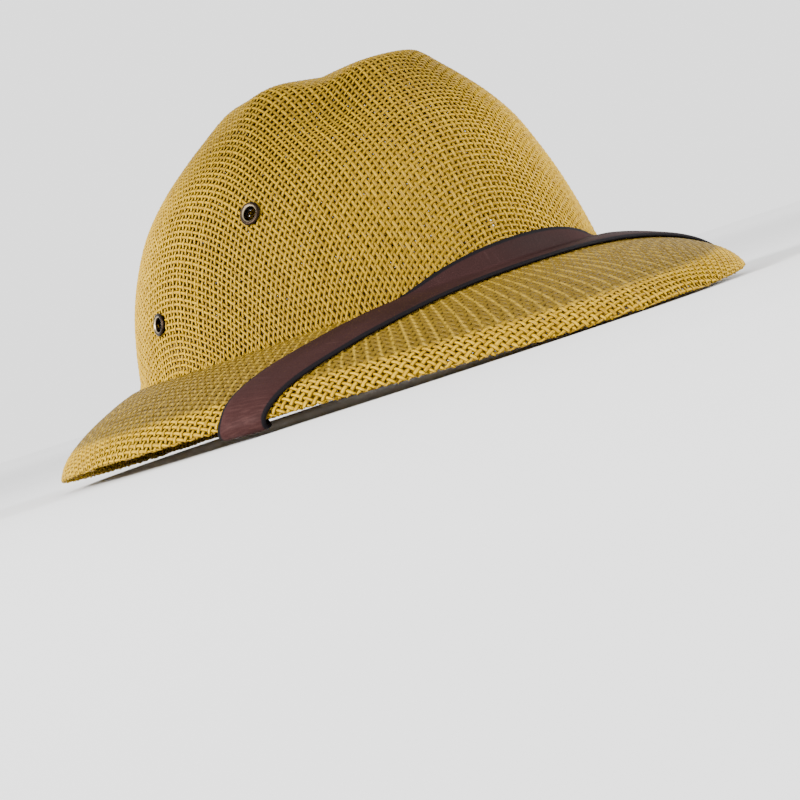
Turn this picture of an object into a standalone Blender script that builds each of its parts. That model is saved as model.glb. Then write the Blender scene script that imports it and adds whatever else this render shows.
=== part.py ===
"""Open-weave straw sun helmet: blocked crown and brim, cloth brim lining, vent eyelets, chin strap.

Units are metres and +Z is up. The hat's front faces -Y and its wearer's right is -X. It rests on the
front and the back of its brim at Z = 0, with the origin under the middle of its footprint.
Angles run round the hat in plan: 0 is the front, 90 the wearer's right, 180 the back.
"""
import math
from functools import lru_cache

import bmesh
import bpy
import numpy as np
from mathutils import Vector

# Brim: plan sizes at the edge, measured from its widest place
RIM_HALF_WIDTH = 0.159
RIM_FRONT_REACH = 0.190
RIM_REAR_REACH = 0.178
RIM_SIDE_LIFT = 0.0065
REST_FLAT_ANGLE = 12.0
BRIM_DROP = 0.036

# Crown: plan sizes at its foot, and its height above the foot
CROWN_HALF_WIDTH = 0.1065
CROWN_HALF_LENGTH = 0.1245
CROWN_HEIGHT = 0.110
CROWN_SETBACK = 0.011
CROWN_LEAN = 0.024

# Cloth
STRAW_THICKNESS = 0.0016
HEM_WIDTH = 0.025
LINING_THICKNESS = 0.0012
CLEARANCE = 0.0003

# Eyelets
EYELET_BORE_RADIUS = 0.0032
EYELET_WALL = 0.0004
EYELET_FLANGE_RADIUS = 0.0053
EYELET_WASHER_RADIUS = 0.0047
EYELET_ROLL_HEIGHT = 0.0010
EYELET_WASHER_THICKNESS = 0.0004
EYELET_SIDES = 16

# Chin strap
STRAP_WIDTH = 0.023
STRAP_THICKNESS = 0.002

# Meshing
ANGLE_STEPS = 60
SPLINE_STEPS = 8
# Steps over which slopes are read: radians round the hat, and share of the crown's or brim's length
SLOPE_TURN = 0.02
SLOPE_SHARE = 0.01

# How far the edge's oval is drawn in between its axes, as a share of its reach
FRONT_TAPER_SHARE = 0.040
REAR_TAPER_SHARE = -0.010

# Crown outline from its top down to its foot: share of the foot's reach, share of the height
CROWN_OUTLINE_SHARES = (
    (0.000, 1.000),
    (0.150, 1.000),
    (0.300, 0.997),
    (0.390, 0.984),
    (0.443, 0.955),
    (0.505, 0.905),
    (0.600, 0.825),
    (0.703, 0.725),
    (0.800, 0.600),
    (0.875, 0.450),
    (0.930, 0.300),
    (0.968, 0.150),
    (0.986, 0.055),
    (1.000, 0.000),
)

# Brim outline from the crown's foot out to its edge: share of the reach, share of the drop
BRIM_OUTLINE_SHARES = (
    (0.100, 0.045),
    (0.250, 0.125),
    (0.420, 0.235),
    (0.600, 0.370),
    (0.760, 0.520),
    (0.880, 0.670),
    (0.960, 0.820),
    (1.000, 0.950),
    (0.993, 1.000),
)

# Soft dents in the crown, with a swelling as a negative depth:
# angle, share of height, spread in degrees, spread as a share of height, depth as a share of height
CROWN_DENTS = (
    (38.0, 0.88, 20.0, 0.18, 0.068),
    (74.0, 0.94, 14.0, 0.09, -0.023),
)

# Vent eyelets on the wearer's right, and mirrored on the left: name, angle, share of crown height
EYELETS = (
    ("high", 63.0, 0.52),
    ("low", 98.0, 0.22),
)

# Middle line of the strap over the brim, from the front to the edge:
# angle, share of the way out from the crown's foot
STRAP_OVER_BRIM = (
    (0.0, -0.005),
    (13.0, 0.012),
    (25.0, 0.075),
    (35.0, 0.180),
    (44.0, 0.310),
    (50.0, 0.425),
    (55.0, 0.530),
    (59.0, 0.630),
    (62.5, 0.750),
    (64.9, 0.870),
    (66.1, 1.000),
)
# Where the strap's middle enters the crown under the brim
STRAP_MOUTH_ANGLE = 86.0
STRAP_FOLD_SLACK = 0.0014
STRAP_COLUMNS = 5
STRAP_ROWS_OVER = 24
STRAP_ROWS_UNDER = 6
STRAP_ROWS_TAB = 6

# Rows of the meshes. A station is 0 at the crown's top, 1 at its foot and 2 at the brim's edge
CROWN_STATION_SHARES = (0.16, 0.32, 0.42, 0.48, 0.54, 0.61, 0.68, 0.76, 0.83, 0.88, 0.91, 0.945, 0.975)
BRIM_STATION_SHARES = (1.0, 1.03, 1.07, 1.16, 1.28, 1.42, 1.56, 1.68, 1.78, 1.86, 1.92, 1.965, 2.0)
HEM_SHARES = (0.0, 0.12, 0.28, 0.46, 0.68, 1.0)
UNDERSIDE_SHARES = (1.0, 0.76, 0.52, 0.30, 0.14, 0.05, 0.0)
LINING_ROWS_UP = 3

SEAT_DEPTH = STRAW_THICKNESS + CLEARANCE + LINING_THICKNESS
FOOT_CENTRE_Y = (RIM_FRONT_REACH - RIM_REAR_REACH) / 2 + CROWN_SETBACK
RIM_CENTRE_Y = (RIM_FRONT_REACH - RIM_REAR_REACH) / 2


def oval(angle, half_width, front, rear, front_taper=0.0, rear_taper=0.0):
    """Point of an egg-shaped oval, round its own middle."""
    ahead = math.cos(angle) > 0
    taper = front_taper if ahead else rear_taper
    keep = 1 - taper * math.sin(2 * angle) ** 2
    reach = front if ahead else rear
    return -half_width * math.sin(angle) * keep, -reach * math.cos(angle) * keep


def rim_lift(angle):
    """Height of the brim's edge: flat at the front and back, arched up at the sides."""
    flat = math.sin(math.radians(REST_FLAT_ANGLE)) ** 2
    return RIM_SIDE_LIFT * max(math.sin(angle) ** 2 - flat, 0) / (1 - flat)


def dented(point, angle, rise, core):
    """Moves a crown point towards the crown's core where a dent lies."""
    for dent_degrees, dent_rise, turn_spread, rise_spread, depth in CROWN_DENTS:
        turn = math.remainder(angle - math.radians(dent_degrees), math.tau)
        across, up = turn / math.radians(turn_spread), (rise - dent_rise) / rise_spread
        move = depth * CROWN_HEIGHT * math.exp(-across ** 2 - up ** 2)
        point = point + (core - point).normalized() * move
    return point


def crown_point(angle, reach, rise):
    """Point on the crown's outside, before smoothing."""
    x, y = oval(angle, CROWN_HALF_WIDTH * reach, CROWN_HALF_LENGTH * reach, CROWN_HALF_LENGTH * reach)
    middle_y = FOOT_CENTRE_Y - CROWN_LEAN * rise ** 3
    core = Vector((0, middle_y, BRIM_DROP + 0.35 * CROWN_HEIGHT))
    return dented(Vector((x, y + middle_y, BRIM_DROP + CROWN_HEIGHT * rise)), angle, rise, core)


def brim_point(angle, share, drop):
    """Point on the brim's top, before smoothing."""
    foot_x, foot_y = oval(angle, CROWN_HALF_WIDTH, CROWN_HALF_LENGTH, CROWN_HALF_LENGTH)
    rim_x, rim_y = oval(angle, RIM_HALF_WIDTH, RIM_FRONT_REACH, RIM_REAR_REACH,
                        FRONT_TAPER_SHARE, REAR_TAPER_SHARE)
    foot = Vector((foot_x, foot_y + FOOT_CENTRE_Y, BRIM_DROP))
    rim = Vector((rim_x, rim_y + RIM_CENTRE_Y, rim_lift(angle)))
    flat = foot.lerp(rim, share)
    flat.z = foot.z + (rim.z - foot.z) * drop
    return flat


def smooth_through(points, steps):
    """Points of a smooth curve through the given ones, with so many steps from each to the next."""
    ends = [2 * points[0] - points[1], *points, 2 * points[-1] - points[-2]]
    curve = []
    for a, b, c, d in zip(ends, ends[1:], ends[2:], ends[3:]):
        for step in range(steps):
            t = step / steps
            bend = (2 * a - 5 * b + 4 * c - d) * t ** 2 + (3 * b - a - 3 * c + d) * t ** 3
            curve.append((2 * b + (c - a) * t + bend) / 2)
    curve.append(points[-1])
    return curve


def lengths_along(points):
    """Distance from the first point to each point."""
    steps = [0.0] + [(q - p).length for p, q in zip(points, points[1:])]
    return np.cumsum(steps)


@lru_cache(maxsize=None)
def meridian(angle):
    """The sheet's outside at one angle: crown points and brim points, each with its lengths."""
    rows = [crown_point(angle, reach, rise) for reach, rise in CROWN_OUTLINE_SHARES]
    rows += [brim_point(angle, share, drop) for share, drop in BRIM_OUTLINE_SHARES]
    curve = smooth_through(rows, SPLINE_STEPS)
    foot = (len(CROWN_OUTLINE_SHARES) - 1) * SPLINE_STEPS
    crown, brim = curve[:foot + 1], curve[foot:]
    return np.array(crown), lengths_along(crown), np.array(brim), lengths_along(brim)


def brim_length(angle):
    return meridian(angle)[3][-1]


def outside(angle, station):
    """Point on the outside: station 0 is the crown's top, 1 its foot and 2 the brim's edge."""
    crown, crown_lengths, brim, brim_lengths = meridian(angle)
    points, lengths = (crown, crown_lengths) if station <= 1 else (brim, brim_lengths)
    share = station if station <= 1 else station - 1
    place = min(max(share, 0), 1) * lengths[-1]
    return Vector([np.interp(place, lengths, points[:, axis]) for axis in range(3)])


def outward(angle, station):
    """Unit normal of the outside."""
    station = min(max(station, 2 * SLOPE_SHARE), 2 - SLOPE_SHARE)
    along = outside(angle, station + SLOPE_SHARE) - outside(angle, station - SLOPE_SHARE)
    around = outside(angle + SLOPE_TURN, station) - outside(angle - SLOPE_TURN, station)
    return around.cross(along).normalized()


def sheet(angle, station, depth=0.0):
    """Point at a depth under the outside."""
    return outside(angle, station) - outward(angle, station) * depth


def in_from_rim(angle, distance):
    """Station that lies this far in from the brim's edge, measured on the cloth."""
    return 2 - distance / brim_length(angle)


def underside_stations(angle, seam):
    """Stations under the brim from a seam so far in from its edge to the crown's foot."""
    return [1 + (in_from_rim(angle, seam) - 1) * share for share in UNDERSIDE_SHARES]


def ring_angles():
    return [math.tau * step / ANGLE_STEPS for step in range(ANGLE_STEPS)]


def new_material(name, colour, roughness, metallic=0.0):
    material = bpy.data.materials.new(name)
    material.use_nodes = True
    shader = material.node_tree.nodes["Principled BSDF"]
    shader.inputs["Base Color"].default_value = (*colour, 1.0)
    shader.inputs["Roughness"].default_value = roughness
    shader.inputs["Metallic"].default_value = metallic
    return material


def new_object(name, shape, material, sharp_degrees=40):
    """Turns a bmesh into a named object with outward faces and smooth shading."""
    bmesh.ops.recalc_face_normals(shape, faces=shape.faces)
    mesh = bpy.data.meshes.new(name)
    shape.to_mesh(mesh)
    shape.free()
    mesh.shade_smooth()
    mesh.set_sharp_from_angle(angle=math.radians(sharp_degrees))
    made = bpy.data.objects.new(name, mesh)
    bpy.context.collection.objects.link(made)
    made.data.materials.append(material)
    return made


def add_row(shape, points):
    return [shape.verts.new(point) for point in points]


def bridge_rings(shape, first, second):
    """Quads between two closed rings of vertices."""
    count = len(first)
    for i in range(count):
        j = (i + 1) % count
        shape.faces.new((first[i], first[j], second[j], second[i]))


def cap_ring(shape, ring, tip):
    for i in range(len(ring)):
        shape.faces.new((ring[i], ring[(i + 1) % len(ring)], tip))


def ring_rows(angles, stations_at, depth):
    """Rows of points round the hat, one for each place in the list of stations at every angle."""
    columns = [[sheet(angle, station, depth) for station in stations_at(angle)] for angle in angles]
    return [list(row) for row in zip(*columns)]


def straw_shell(material):
    """Crown and brim as one hollow sheet, doubled along the edge where the cloth is turned under."""
    shape = bmesh.new()
    angles = ring_angles()
    rows = ring_rows(angles, lambda angle: CROWN_STATION_SHARES + BRIM_STATION_SHARES, 0)
    for share in HEM_SHARES:
        rows.append([hem_point(angle, HEM_WIDTH * share) for angle in angles])
    rows += ring_rows(angles, lambda angle: underside_stations(angle, HEM_WIDTH), STRAW_THICKNESS)
    rows += ring_rows(angles, lambda angle: CROWN_STATION_SHARES[::-1], STRAW_THICKNESS)
    rings = [add_row(shape, row) for row in rows]
    for first, second in zip(rings, rings[1:]):
        bridge_rings(shape, first, second)
    top = outside(0.0, 0.0)
    cap_ring(shape, rings[0], shape.verts.new(top))
    cap_ring(shape, rings[-1], shape.verts.new(top - Vector((0, 0, STRAW_THICKNESS))))
    return new_object("straw_shell", shape, material)


def hem_point(angle, distance):
    """Inner face of the turned edge; at the edge itself it lies level with the outer face."""
    point = sheet(angle, in_from_rim(angle, distance), 2 * STRAW_THICKNESS)
    if distance == 0:
        point.z = rim_lift(angle)
    return point


def lining_stations(angle):
    """Stations of the lining from the turned edge in, then a little way up the crown."""
    crown = CROWN_STATION_SHARES[:-LINING_ROWS_UP - 1:-1]
    return underside_stations(angle, HEM_WIDTH + CLEARANCE) + list(crown)


def brim_lining(material):
    """Thin cloth ring under the brim and just inside the crown."""
    shape = bmesh.new()
    rows = ring_rows(ring_angles(), lining_stations, STRAW_THICKNESS + CLEARANCE)
    rows += ring_rows(ring_angles(), lining_stations, SEAT_DEPTH)[::-1]
    rings = [add_row(shape, row) for row in rows]
    for first, second in zip(rings, rings[1:] + rings[:1]):
        bridge_rings(shape, first, second)
    return new_object("brim_lining", shape, material)


def station_at_rise(angle, rise):
    """Station on the crown at a share of its height, found by halving."""
    low, high = 0.0, 1.0
    for _ in range(30):
        middle = (low + high) / 2
        if outside(angle, middle).z > BRIM_DROP + CROWN_HEIGHT * rise:
            low = middle
        else:
            high = middle
    return high


def eyelet_seat(degrees, rise, side):
    """Place and outward direction of an eyelet; side -1 mirrors it to the wearer's left."""
    angle = math.radians(degrees)
    station = station_at_rise(angle, rise)
    place, direction = outside(angle, station), outward(angle, station)
    if side < 0:
        place.x, direction.x = -place.x, -direction.x
    return place, direction


def eyelet_profile():
    """Radius and height of the eyelet's section, with height 0 at the straw's outside."""
    barrel = EYELET_BORE_RADIUS + EYELET_WALL
    roll = EYELET_ROLL_HEIGHT
    seat = CLEARANCE
    washer = -STRAW_THICKNESS - 1.5 * CLEARANCE
    rim = EYELET_FLANGE_RADIUS
    return (
        (EYELET_BORE_RADIUS, washer - EYELET_WASHER_THICKNESS),
        (EYELET_BORE_RADIUS, seat + 0.6 * roll),
        (barrel, seat + 0.95 * roll),
        ((barrel + rim) / 2, seat + roll),
        (rim - 0.2 * roll, seat + 0.7 * roll),
        (rim, seat + 0.3 * roll),
        (rim - 0.1 * roll, seat),
        (barrel, seat),
        (barrel, washer),
        (EYELET_WASHER_RADIUS, washer),
        (EYELET_WASHER_RADIUS, washer - EYELET_WASHER_THICKNESS),
    )


def eyelet(name, place, direction, material):
    """Turned metal eyelet with its axis along the crown's normal."""
    shape = bmesh.new()
    rings = []
    for radius, height in eyelet_profile():
        circle = [math.tau * step / EYELET_SIDES for step in range(EYELET_SIDES)]
        rings.append(add_row(shape, [(radius * math.cos(a), radius * math.sin(a), height) for a in circle]))
    for first, second in zip(rings, rings[1:] + rings[:1]):
        bridge_rings(shape, first, second)
    made = new_object(name, shape, material, sharp_degrees=50)
    made.rotation_euler = direction.to_track_quat("Z", "Y").to_euler()
    made.location = place
    return made


def punch(shell, name, place, direction):
    """Cuts the eyelet's hole through the straw with a hidden cylinder."""
    shape = bmesh.new()
    radius = EYELET_BORE_RADIUS + EYELET_WALL + CLEARANCE
    reach = 4 * STRAW_THICKNESS
    bmesh.ops.create_cone(shape, cap_ends=True, segments=EYELET_SIDES, radius1=radius, radius2=radius,
                          depth=2 * reach)
    cutter = new_object(name + "_cutter", shape, shell.data.materials[0])
    cutter.rotation_euler = direction.to_track_quat("Z", "Y").to_euler()
    cutter.location = place
    cutter.hide_render = True
    cutter.display_type = "WIRE"
    cut = shell.modifiers.new(name + "_hole", "BOOLEAN")
    cut.operation = "DIFFERENCE"
    cut.solver = "EXACT"
    cut.object = cutter


def over_cloth(angle, distance, lift=0.0):
    """Point at a height over the cloth, so far out from the crown's foot or up the crown if negative."""
    length = brim_length(angle) if distance > 0 else meridian(angle)[1][-1]
    return sheet(angle, 1 + distance / length, -lift)


def strap_middle():
    """Middle line over the brim as (angle, distance from the foot), run on past the edge."""
    rows = []
    for degrees, share in STRAP_OVER_BRIM:
        angle = math.radians(degrees)
        rows.append(Vector((angle, share * brim_length(angle))))
    rows.append(2 * rows[-1] - rows[-2])
    mirrored = Vector((-rows[1].x, rows[1].y))
    return smooth_through([mirrored] + rows, SPLINE_STEPS)[SPLINE_STEPS:]


def strap_column(offset):
    """One lengthwise line of the strap over the brim, cut off at the edge and cut into rows."""
    line = []
    middle = strap_middle()
    for before, here, after in zip([middle[0]] + middle, middle, middle[1:] + [middle[-1]]):
        turned = [over_cloth(here.x + move, here.y) for move in (-SLOPE_TURN / 2, SLOPE_TURN / 2)]
        around = (turned[1] - turned[0]).length / SLOPE_TURN
        along = Vector(((after.x - before.x) * around, after.y - before.y)).normalized()
        line.append(Vector((here.x + along.y * offset / around, here.y - along.x * offset)))
    inside = [point for point in line if point.y < brim_length(point.x)]
    beyond = line[len(inside)]
    over, left = beyond.y - brim_length(beyond.x), brim_length(inside[-1].x) - inside[-1].y
    inside.append(inside[-1].lerp(beyond, left / (left + over)))
    inside[0].x = 0
    lengths = lengths_along([over_cloth(*point) for point in inside])
    marks = lengths[-1] * (1 - np.linspace(1, 0, STRAP_ROWS_OVER) ** 1.5)
    return [[np.interp(mark, lengths, [point[i] for point in inside]) for i in range(2)] for mark in marks]


def bridged(row):
    """The row's points moved out to a straight line between its ends wherever that clears the cloth."""
    first, last = row[0], row[-1]
    moved = [first]
    for column, point in enumerate(row[1:-1], 1):
        straight = first.lerp(last, column / (len(row) - 1))
        if straight.z > point.z:
            point = straight
        moved.append(point)
    return moved + [last]


def strap_over(offsets):
    """Grid of the strap's inner face from the front to the brim's edge, row by row."""
    columns = [strap_column(offset) for offset in offsets]
    rows = zip(*columns)
    return [bridged([over_cloth(angle, distance, CLEARANCE) for angle, distance in row]) for row in rows]


def strap_under(offset, rim_angle):
    """One lengthwise line of the inner face, round the brim's edge and on to the crown's inside."""
    outer, inner = outside(rim_angle, 2), hem_point(rim_angle, 0)
    out = (outer - inner).normalized()
    down = Vector((0, 0, -STRAP_FOLD_SLACK))
    fold = [outer + down, inner + down, inner - out * STRAP_FOLD_SLACK]
    mouth_angle = math.radians(STRAP_MOUTH_ANGLE) + offset / CROWN_HALF_LENGTH
    tab = [sheet(mouth_angle, station, SEAT_DEPTH + CLEARANCE)
           for station in lining_stations(mouth_angle)[-STRAP_ROWS_TAB:]]
    run = [fold[-1].lerp(tab[0], row / STRAP_ROWS_UNDER) for row in range(1, STRAP_ROWS_UNDER)]
    return fold + run + tab


def chin_strap(material):
    """Flat strap: over the front of the brim, round both side edges and up inside the crown."""
    offsets = [STRAP_WIDTH * (column / (STRAP_COLUMNS - 1) - 0.5) for column in range(STRAP_COLUMNS)]
    right = strap_over(offsets)
    rim_angles = [strap_column(offset)[-1][0] for offset in offsets]
    under = [strap_under(offset, angle) for offset, angle in zip(offsets, rim_angles)]
    right += [list(row) for row in zip(*under)]
    left = [[Vector((-p.x, p.y, p.z)) for p in row] for row in reversed(right[1:])]
    grid = left + right
    shape = bmesh.new()
    inner = [add_row(shape, row) for row in grid]
    outer = [add_row(shape, row) for row in raised(grid, STRAP_THICKNESS)]
    loops = [a + b[::-1] for a, b in zip(inner, outer)]
    for first, second in zip(loops, loops[1:]):
        bridge_rings(shape, first, second)
    for inner_row, outer_row in ((inner[0], outer[0]), (inner[-1], outer[-1])):
        for i in range(STRAP_COLUMNS - 1):
            shape.faces.new((inner_row[i], inner_row[i + 1], outer_row[i + 1], outer_row[i]))
    return new_object("chin_strap", shape, material)


def raised(grid, height):
    """The grid moved off its own surface, away from the hat."""
    rows, columns = len(grid), len(grid[0])
    moved = []
    for i in range(rows):
        row = []
        for j in range(columns):
            along = grid[min(i + 1, rows - 1)][j] - grid[max(i - 1, 0)][j]
            across = grid[i][min(j + 1, columns - 1)] - grid[i][max(j - 1, 0)]
            row.append(grid[i][j] + across.cross(along).normalized() * height)
        moved.append(row)
    return moved


def main():
    for old in list(bpy.data.objects):
        bpy.data.objects.remove(old, do_unlink=True)
    straw = new_material("golden straw", (0.62, 0.42, 0.12), 0.55)
    cloth = new_material("tan cloth", (0.42, 0.33, 0.17), 0.8)
    metal = new_material("dark bronze", (0.16, 0.11, 0.07), 0.35, metallic=0.9)
    leather = new_material("brown strap", (0.16, 0.075, 0.07), 0.42)
    shell = straw_shell(straw)
    brim_lining(cloth)
    for side, side_name in ((1, "right"), (-1, "left")):
        for height_name, degrees, rise in EYELETS:
            name = f"eyelet_{side_name}_{height_name}"
            place, direction = eyelet_seat(degrees, rise, side)
            eyelet(name, place, direction, metal)
            punch(shell, name, place, direction)
    chin_strap(leather)


main()
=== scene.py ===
import math
import bpy
import numpy as np
from mathutils import Matrix, Vector


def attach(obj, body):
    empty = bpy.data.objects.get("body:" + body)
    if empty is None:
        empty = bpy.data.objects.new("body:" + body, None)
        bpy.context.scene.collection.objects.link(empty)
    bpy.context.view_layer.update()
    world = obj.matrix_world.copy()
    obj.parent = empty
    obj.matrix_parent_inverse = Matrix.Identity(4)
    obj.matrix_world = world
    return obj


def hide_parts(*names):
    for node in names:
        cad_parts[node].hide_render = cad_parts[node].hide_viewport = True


# Straw sun helmet. Metres and degrees, in the part's own frame: front -Y, up +Z, wearer's right -X.
# Angle 0 is the front and 90 the wearer's right. Depths go in from the straw's outer face.
# Station 0 is the crown's top, 1 its foot and 2 the brim's edge, each stretch by length of cloth.

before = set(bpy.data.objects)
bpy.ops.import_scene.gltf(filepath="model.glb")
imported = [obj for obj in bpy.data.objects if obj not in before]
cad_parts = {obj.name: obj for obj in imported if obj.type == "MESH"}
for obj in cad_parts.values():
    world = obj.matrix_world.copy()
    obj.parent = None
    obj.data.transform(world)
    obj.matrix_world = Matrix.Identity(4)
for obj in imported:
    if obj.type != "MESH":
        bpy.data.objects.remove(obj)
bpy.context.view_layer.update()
chance = np.random.default_rng(11)

# Brim
RIM_HALF_WIDTH = 0.159
RIM_FRONT_REACH = 0.190
RIM_REAR_REACH = 0.178
RIM_CENTRE_Y = 0.006
RIM_SIDE_LIFT = 0.0065
REST_FLAT_ANGLE = 12.0
FRONT_TAPER = 0.040
REAR_TAPER = -0.010
BRIM_DROP = 0.036

# Brim from the foot out: share of the way to the edge, share of the drop
BRIM_OUTLINE = (
    (0.100, 0.045), (0.250, 0.125), (0.420, 0.235), (0.600, 0.370), (0.760, 0.520),
    (0.880, 0.670), (0.960, 0.820), (1.000, 0.950), (0.993, 1.000))

# Crown
CROWN_HALF_WIDTH = 0.1065
CROWN_HALF_LENGTH = 0.1245
CROWN_HEIGHT = 0.110
CROWN_LEAN = 0.024
FOOT_CENTRE_Y = 0.017

# Crown from the top down: share of the half width, share of the height
CROWN_OUTLINE = (
    (0.000, 1.000), (0.150, 1.000), (0.300, 0.997), (0.390, 0.984), (0.443, 0.955),
    (0.505, 0.905), (0.600, 0.825), (0.703, 0.725), (0.800, 0.600), (0.875, 0.450),
    (0.930, 0.300), (0.968, 0.150), (0.986, 0.055), (1.000, 0.000))

# Dents: angle, share of the height, spread in angle and height, depth as a share of the height
CROWN_DENTS = ((38.0, 0.88, 20.0, 0.18, 0.068), (74.0, 0.94, 14.0, 0.09, -0.023))
DENT_CORE_RISE = 0.35
DENT_FADE_REACH = 0.42

# Grid of the outside
CURVE_STEPS = 8
TURN_STEPS = 720
CROWN_STEPS = 240
BRIM_STEPS = 120

# Straw, lining and the gap between pieces
STRAW_THICKNESS = 0.0016
HEM_WIDTH = 0.025
LINING_THICKNESS = 0.0012
CLEARANCE = 0.0003
SEAT_DEPTH = STRAW_THICKNESS + CLEARANCE + LINING_THICKNESS
LINING_TOP_STATION = 0.91
LINING_SIDES = 360
LINING_ROWS_OUT = 26
LINING_ROWS_UP = 9
LINING_MEAN_RADIUS = 0.14

# Strands
WIDEST_STRAND = 0.0040
STRAND_THICKNESS = 0.00088
STRAND_WIDTH_SPREAD = (0.90, 1.08)
STRAND_THICKNESS_SPREAD = (0.9, 1.1)
CROSSING_NARROWS = 0.06
CELL_WANDER = 0.045
CELL_WANDER_LENGTH = 11
TONE_WANDER = 0.35
TONE_WANDER_LENGTH = 9
TONE_SHARE_OF_STRAND = 0.6
ODD_STRAND_SHADE = 0.70
FIBRE_SHIFT = 0.37

# Where the crown's cloth and the brim's pass over each other at the foot
JOIN_SPAN = (-0.001, 0.002)
JOIN_DIP = 0.0005
CROWN_PAST_FOOT = 0.0016
BRIM_PAST_FOOT = 0.0012

# Share of its spacing that a strand fills, and what tighter parts add to it
CROWN_FILL = 0.62
CROWN_FRONT_FILL = 0.14
CROWN_BACK_FILL = 0.36
BRIM_FILL = 0.69
BRIM_TIGHT_FILL = 0.27

# Middles of the crown's low front, of its shaded face, and of the side that the photograph shows
LOW_FRONT_ANGLE = 10.0
SHADED_ANGLE = 38.0
SEEN_ANGLE = 42.0
CROWN_TOP_SHADE = 0.80
CROWN_FACE_SHADE = 0.60

# Where these parts fade in, by the cosine of the angle from their middle, or by station
LOW_FRONT_FACING = (0.35, 0.75)
LOW_FRONT_STATIONS = (0.45, 0.75)
SHADED_FACING = (0.55, 0.95)
SHADED_STATIONS = (0.68, 0.34)
UNSEEN_FACING = (-0.05, 0.36)

# Crown's cloth
CROWN_CRIMP = 0.00026
CROWN_CLOTH_TURN = -0.074
CROWN_CELLS = 67
CROWN_CLOTH_REACH = 0.176
FIRST_CELLS_PER_METRE = 380
CROWN_ROUNDS = 14
CROWN_TABLE_STEPS = 600

# Crown's cloth by length from the top: cells a metre along strands and across corners, twist
CROWN_CLOTH = (
    (0.00, 416.0, 416.0, -0.005), (0.06, 368.0, 348.0, -0.025), (0.11, 358.0, 297.0, -0.049),
    (0.15, 363.0, 259.0, -0.069), (0.18, 358.0, 252.0, -0.069), (0.24, 358.0, 252.0, -0.069))

# Brim's cloth: spans are distances in from the edge, negative where the straw is turned under
BRIM_CRIMP = 0.00038
FLAT_BRIM_CRIMP_LOSS = 0.5
BRIM_CELLS = 73
RIM_RADIUS_CELLS = 64.0
BRIM_CELLS_PER_METRE = 320.0
BRIM_TWIST = 5.0
BRIM_ROUNDS = 6
BRIM_RIBS = 160
EDGE_TURN = 0.0008
NEAR_EDGE_STATION = 1.985
FLAT_BRIM_SPAN = (0.014, 0.020)
TIGHT_HEM_SPAN = (-0.003, -0.007)

# Eyelets: angle, share of the crown's height
EYELETS = {"high": (63.0, 0.52), "low": (98.0, 0.22)}
EYELET_HOLE = 0.0038
EYELET_HOLE_REACH = 0.01
EYELET_SIDES = 56
# Painted highlight ring on the flange: radius, width, and heights over the straw where it fades in
EYELET_HIGHLIGHT_RADIUS = 0.0036
EYELET_HIGHLIGHT_WIDTH = 0.00019
EYELET_HIGHLIGHT_HEIGHTS = (0.0003, 0.0008)
SEAT_SEARCH_STEPS = 2000

# Eyelet outline, from its bore round the flange to the washer: radius, height over the straw
EYELET_OUTLINE = (
    (0.0032, -0.0024), (0.0032, 0.0002), (0.0033, 0.0006), (0.0036, 0.00095), (0.0041, 0.0012),
    (0.0046, 0.00118), (0.0051, 0.0009), (0.0053, 0.0005), (0.0052, 0.00032), (0.0036, 0.0003),
    (0.0036, -0.00205), (0.0046, -0.00205), (0.0047, -0.0022), (0.0046, -0.0024))

# Stitches of the seam under the brim
STITCHES = 232
STITCH_IN_FROM_EDGE = 0.0222
STITCH_WANDER = 0.00012
STITCH_SPAN = (0.06, 0.86)
STITCH_DEPTH = 0.00305
STITCH_ARCH = 0.00035
STITCH_RINGS = 7
THREAD_RADIUS = 0.0003
THREAD_END_SHARE = 0.45
THREAD_SIDES = 6

# Strap
STRAP_WIDTH = 0.023
STRAP_THICKNESS = 0.002
STRAP_EDGE_SHARE = 0.60
STRAP_EDGE_LIFT_SHARE = 0.12
STRAP_FULLNESS_POWER = 7
STRAP_EDGE_POWER = 10
STRAP_LIFT = 0.0001
STRAP_FOLD_SLACK = 0.0014
STRAP_FOLD_SPREAD = 1.15
STRAP_FOLD_ROUNDING = 0.6
STRAP_FOLD_WEAR_AND_SHEEN_REACH = 0.018
STRAP_MOUTH_ANGLE = 86.0
STRAP_MOUTH_STATION = 1.12
STRAP_COLUMNS = 23
STRAP_COLUMN_CROWDING = 0.8
STRAP_ROW_CROWDING = 1.3
STRAP_ROWS_OVER = 120
STRAP_ROWS_ROUND = 11
STRAP_ROWS_UNDER = 25
STRAP_ROWS_MOUTH = 7
STRAP_ROWS_TAB = 8
STRAP_ROWS_EASED = 20
STRAP_EASINGS = 3
STRAP_TURN_STEP = 0.01
STRAP_CURVE_STEPS = 12

# Strap over the brim: angle, share of the way from the crown's foot to the edge
STRAP_OVER_BRIM = (
    (0.0, -0.005), (13.0, 0.012), (25.0, 0.075), (35.0, 0.180), (44.0, 0.310), (50.0, 0.425),
    (55.0, 0.530), (59.0, 0.630), (62.5, 0.750), (64.9, 0.870), (66.1, 1.000))

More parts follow.
